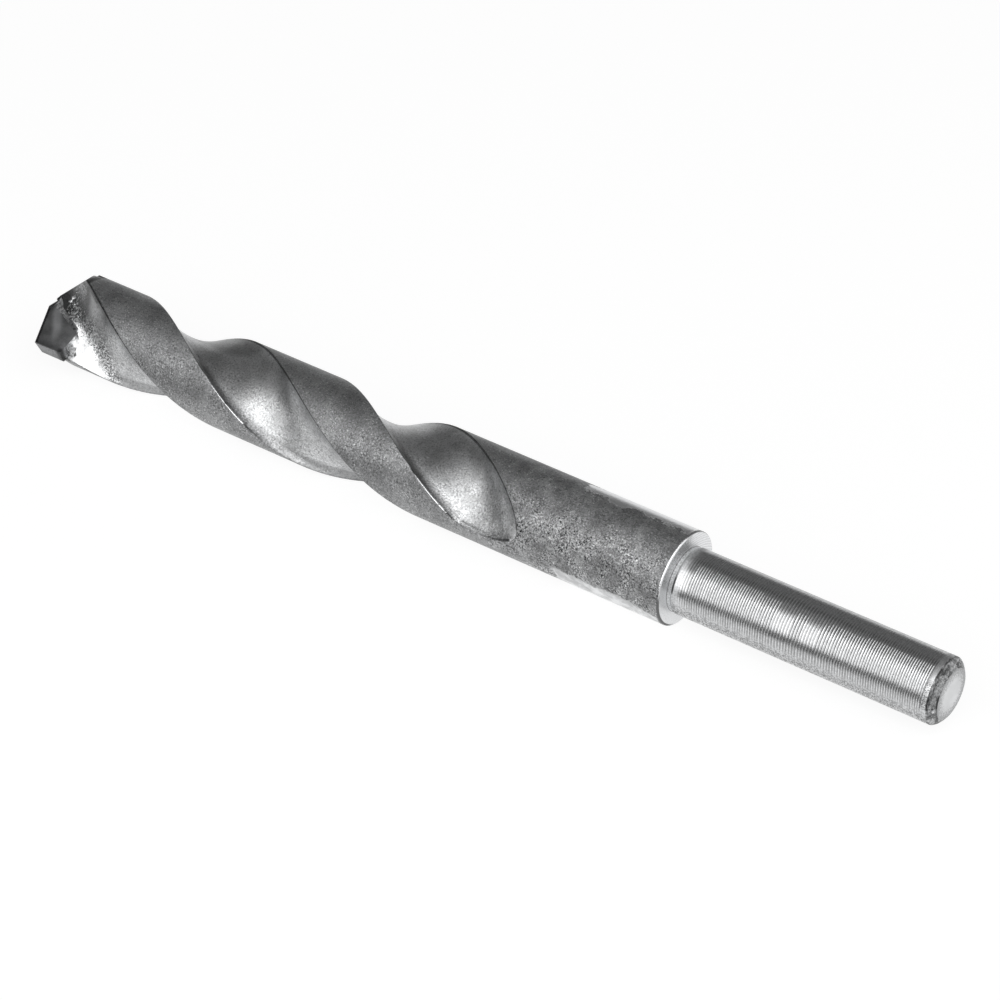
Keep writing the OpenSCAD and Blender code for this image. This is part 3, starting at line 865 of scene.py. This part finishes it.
def steel_roughness(n):
    rough = n.in_flute.mix(LAND_ROUGH, FLUTE_ROUGH)
    zones = ((n.mottled, MOTTLED_ROUGH), (n.wetted, WETTED_ROUGH), (n.most(n.worn, n.rim), HIGHLIGHT_ROUGH),
             (n.patch, PATCH_ROUGH), (n.on_shank, n.streak.ramp(0.3, 0.7, 0.32, 0.26)))
    for mask, zone in zones:
        rough = mask.mix(rough, zone)
    plain = n.most(n.x.ramp(SHOULDER_Z + 3.0, SHOULDER_Z + 1.5), n.x.ramp(BEVEL_Z - 1.6, BEVEL_Z - 1.1))
    return (plain * n.on_shank).mix(rough, PLAIN_ROUGH)


def steel_height(n):
    strength = n.in_flute.mix(n.x.ramp(112.0, 120.0, 2.3, 3.0), 1.8)
    strength = n.most(n.on_shank, n.most(n.patch, n.wetted)).mix(strength, 0.25) + n.mottled * 1.6
    return (n.fine * 0.35 + n.grain * 0.9) * strength


def steel_normal(n):
    """Normal with the wetted area levelled like a pool, and the low wall of the last turn rolled over."""
    nx, ny, nz = n.split(n.add("NewGeometry").outputs["Normal"])
    pool = n.wetted * ny.ramp(0.0, -0.2)
    rolled = n.x.within(*ROLLED) * n.v.ramp(0.0, 1.0) * n.radius.ramp(7.9, 8.2)
    rolled *= nz.ramp(0.0, 0.2) * n.y.ramp(-3.0, -5.0)
    level = n.join(n.most(nx, pool.mix(-1.0, 0.05)), n.math("MINIMUM", ny, rolled.mix(1.0, -0.60)),
                   n.most(nz, pool.mix(-1.0, 0.46)))
    return n.add("VectorMath", operation="NORMALIZE", inputs={0: level}).outputs[0]


def steel_material():
    n = BitNodes("blasted_steel")
    steel_masks(n)
    value = paint_blasted(n)
    for paint in (paint_gash, paint_sparkle, paint_edges, paint_shank, paint_shoulder, paint_end):
        value = paint(n, value)
    return n.metal(value, STEEL_TINT, steel_roughness(n), steel_height(n), STEEL_BUMP, Normal=steel_normal(n))


def ground_material():
    n = BitNodes("ground_steel")
    fine = n.noise(*GROUND_FINE)
    lines = n.waves(1500.0, 2.0, 2.0, "BANDS", "X")
    value = n.noise(*GROUND_CLOUD).ramp(0.3, 0.7, 0.13, 0.26) * fine.ramp(0.3, 0.7, 0.8, 1.15)
    return n.metal(value, STEEL_TINT, GROUND_ROUGH, lines * 0.3 + fine * 0.6, GROUND_BUMP)


def carbide_material():
    """Ground carbide: a painted lighter sheen on the face, painted shade along the cutting edge, corners and notch.
    """
    n = BitNodes("ground_carbide")
    fine = n.noise(*GROUND_FINE)
    lines = n.waves(1400.0, 3.0, 2.0, "BANDS", "DIAGONAL")
    value = n.noise(*CARBIDE_CLOUD).ramp(0.3, 0.7, 0.75, 1.35) * CARBIDE_GREY * fine.ramp(0.3, 0.7, 0.9, 1.1)
    # Painted sheen: a lighter diagonal band across the middle of the face
    value += abs(n.a * 0.8 + n.x - 1.2).ramp(2.0, 0.3) * n.x.within(0.8, 2.2, 4.4, 7.2) * CARBIDE_SHEEN_GREY
    from_edge = n.x - abs(n.a) * ROOF_SLOPE
    # Painted shade along the cutting edge and toward the outer corner
    value *= (from_edge + fine * 0.5).ramp(0.30, 0.44, 0.3, 1.0) * n.radius.ramp(7.9, 9.6, 1.0, 0.5)
    value = n.radius.ramp(9.75, 9.85).mix(value, fine.ramp(0.3, 0.7, 0.16, 0.34))
    value = value.darker(n.x.ramp(8.2, 9.2) * n.radius.ramp(8.6, 9.3), NOTCH_SHADE)
    return n.metal(value, CARBIDE_TINT, CARBIDE_ROUGH, lines * 0.25 + fine * 0.5, CARBIDE_BUMP)


def braze_material():
    """Lumpy braze: a thin film on the plate that darkens toward its foot, bright beads beside it."""
    n = BitNodes("braze_metal")
    lump, fine = n.noise(*BRAZE_LUMPS), n.noise(*FINE)
    film = n.b.ramp(1.72, 1.62) * n.x.ramp(9.2, 8.6)
    value = lump.ramp(0.36, 0.64, 0.35, 1.2) * BRAZE_GREY * film.mix(1.0, n.x.ramp(2.5, 8.0, 1.5, 0.5))
    value = n.b.ramp(1.75, 1.9).mix(value * n.x.ramp(0.85, 1.1, 0.2, 1.0), BEAD_GREY)
    return n.metal(value, STEEL_TINT, BRAZE_ROUGH, lump + fine * 0.3, BRAZE_BUMP)


steel_mat, ground_mat = steel_material(), ground_material()
carbide_mat, braze_mat = carbide_material(), braze_material()

# Half size of the box that cuts the point, and the slot's reach over and under the plate
REACH, SLOT_REACH, SLOT_BELOW = 60.0, 20, -5
PLATE_BEVEL, SHARP_ANGLE, BRAZE_ANGLE, LUMP_ANGLE = 0.06, 34, 30, 60

steel = closed_tube("bit_steel", steel_rings())
steel.data.materials.append(steel_mat)
nose_cutters = [box_cutter((-REACH, -REACH, -REACH), (REACH, REACH, 0), face_place(edge_y, clearance, half))
                for half in (0, math.pi) for edge_y, clearance in ((0, 0), (-SLOT_W / 2, NOSE_RELIEF))]
nose_cutters.append(box_cutter((-SLOT_REACH, -SLOT_W / 2, SLOT_BELOW),
                               (SLOT_REACH, SLOT_W / 2, PLATE_H + BRAZE_T), Matrix.Identity(4)))
cut(steel, nose_cutters, ground_mat)
smooth(steel, SHARP_ANGLE)

carbide = copy_node("bit_carbide", "carbide_tip")
m = carbide.modifiers.new("edge", "BEVEL")
m.width, m.segments, m.limit_method, m.angle_limit = PLATE_BEVEL * MM, 2, "ANGLE", math.radians(20)
apply_modifiers(carbide)
smooth(carbide, SHARP_ANGLE)

braze = copy_node("bit_braze", "braze_seam")
smooth(braze, BRAZE_ANGLE)
beads = [braze_bead("bit_bead_0", half=0, seed=3), braze_bead("bit_bead_1", half=1, seed=5)]
feet = [braze_foot("bit_foot_0", half=0, seed=11), braze_foot("bit_foot_1", half=1, seed=17)]
drops = [braze_drops("bit_drops_0", half=0, seed=2), braze_drops("bit_drops_1", half=1, seed=9)]
for bead in beads:
    m = bead.modifiers.new("smooth", "SUBSURF")
    m.levels = m.render_levels = 1
    apply_modifiers(bead)
for obj in beads + feet + drops:
    smooth(obj, LUMP_ANGLE)

for obj, mat in [(carbide, carbide_mat)] + [(b, braze_mat) for b in [braze] + beads + feet + drops]:
    obj.data.materials.clear()
    obj.data.materials.append(mat)

for obj, node, slot_name in ((steel, "steel_body", "steel"), (carbide, "carbide_tip", "carbide"),
                             (braze, "braze_seam", "braze")):
    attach(obj, "root")
    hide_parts(node)
for obj in beads + feet + drops:
    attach(obj, "root")

# Camera, as fitted to the outlines of the body and the shank
RIGHT = Vector((0.81731747, 0.57618761, 0.0))
DOWN = Vector((0.35332777, -0.50119258, -0.78991486))
FORWARD = Vector((-0.45513915, 0.64561121, -0.61321653))
CAMERA_AT, LENS, SENSOR = (0.3199, -0.4454, 0.4318), 136.78, 36.0
camera_data = bpy.data.cameras.new("camera")
camera_data.lens, camera_data.sensor_width = LENS, SENSOR
camera = bpy.data.objects.new("camera", camera_data)
bpy.context.scene.collection.objects.link(camera)
camera.matrix_world = Matrix.Translation(CAMERA_AT) @ Matrix((RIGHT, -DOWN, -FORWARD)).transposed().to_4x4()
bpy.context.scene.camera = camera

# Floor, lamps and the dark sides of the room. Brightness of each as seen, and the floor's own grey
FLOOR_GREY, FLOOR_GLOW, FLOOR_SHARE, FLOOR_SIZE = 0.93, 1.12, 0.8, 8
DARK_SIDE, CEILING, TABLE_END, WORLD_LIGHT = 0.145, 0.38, 0.06, 0.15
DOME_COLUMNS, DOME_ROWS = 40, 16


def floor_material():
    n = Nodes(bpy.data.materials.new("stage_floor"), "OutputMaterial")
    diffuse = n.add("BsdfDiffuse", inputs={"Color": (FLOOR_GREY, FLOOR_GREY, FLOOR_GREY, 1)})
    glow = n.add("Emission", inputs={"Color": (1, 1, 1, 1), "Strength": FLOOR_GLOW})
    shaders = {1: diffuse.outputs[0], 2: glow.outputs[0]}
    return n.finish(n.add("MixShader", inputs={0: n.seen() * FLOOR_SHARE, **shaders}))


def card_material(name, value):
    n = Nodes(bpy.data.materials.new(name), "OutputMaterial")
    return n.finish(n.add("Emission", inputs={"Color": (value, value, value, 1), "Strength": 1.0}))


def level_sheet(name, centre, width, depth, material):
    x, y, z = centre
    corners = [(x + a * width / 2, y + b * depth / 2, z) for a, b in ((-1, -1), (1, -1), (1, 1), (-1, 1))]
    obj = mesh_object(name, corners, [(0, 1, 2, 3)], world=False)
    obj.data.materials.append(material)
    return obj


def only_in_reflections(obj):
    obj.visible_camera = obj.visible_diffuse = obj.visible_shadow = obj.visible_transmission = False


def dome(name, azimuths, elevations, radius, value):
    """Part of a sphere round the bit, seen in reflections only; azimuth runs from -Y toward +X."""
    az = np.radians(np.linspace(*azimuths, DOME_COLUMNS))
    el = np.radians(np.linspace(*elevations, DOME_ROWS))
    verts = [(radius * math.sin(a) * math.cos(e), -radius * math.cos(a) * math.cos(e), radius * math.sin(e))
             for e in el for a in az]
    n = DOME_COLUMNS
    faces = [(j * n + i, j * n + i + 1, (j + 1) * n + i + 1, (j + 1) * n + i)
             for j in range(DOME_ROWS - 1) for i in range(n - 1)]
    obj = mesh_object(name, verts, faces, world=False)
    obj.data.materials.append(card_material(name, value))
    only_in_reflections(obj)


def softbox(name, azimuth, elevation, distance, width, height, radiance):
    """Rectangular lamp that looks at the bit; azimuth runs from -Y toward +X."""
    a, e = math.radians(azimuth), math.radians(elevation)
    data = bpy.data.lights.new(name, "AREA")
    data.shape, data.size, data.size_y = "RECTANGLE", width, height
    data.energy = radiance * math.pi * width * height
    lamp = bpy.data.objects.new(name, data)
    lamp.location = distance * Vector((math.sin(a) * math.cos(e), -math.cos(a) * math.cos(e), math.sin(e)))
    lamp.rotation_euler = (-lamp.location).to_track_quat("-Z", "Y").to_euler()
    bpy.context.scene.collection.objects.link(lamp)


floor = level_sheet("stage_floor", (0, 0, 0), FLOOR_SIZE, FLOOR_SIZE, floor_material())
dome("stage_dark_side", azimuths=(-210, -47), elevations=(0.5, 76), radius=1.6, value=DARK_SIDE)
dome("stage_ceiling", azimuths=(-180, 180), elevations=(76, 90), radius=1.7, value=CEILING)
dome("stage_front_gap", azimuths=(-60, 60), elevations=(0.5, 5), radius=0.7, value=TABLE_END)
gap = level_sheet("stage_table_end", centre=(0, -0.332, 0.0004), width=2.0, depth=0.6,
                  material=card_material("stage_table_end", TABLE_END))
only_in_reflections(gap)
softbox("softbox_front", azimuth=0, elevation=36, distance=0.80, width=1.04, height=0.92, radiance=1.10)
softbox("softbox_right", azimuth=76, elevation=48, distance=0.90, width=1.10, height=0.90, radiance=1.2)

world = bpy.data.worlds.new("world")
bpy.context.scene.world = world
sky = Nodes(world, "OutputWorld")
sky.finish(sky.add("Background", inputs={"Strength": sky.seen().ramp(0.0, 1.0, WORLD_LIGHT, 1.0, "LINEAR")}))
bpy.context.scene.view_settings.view_transform = "Standard"
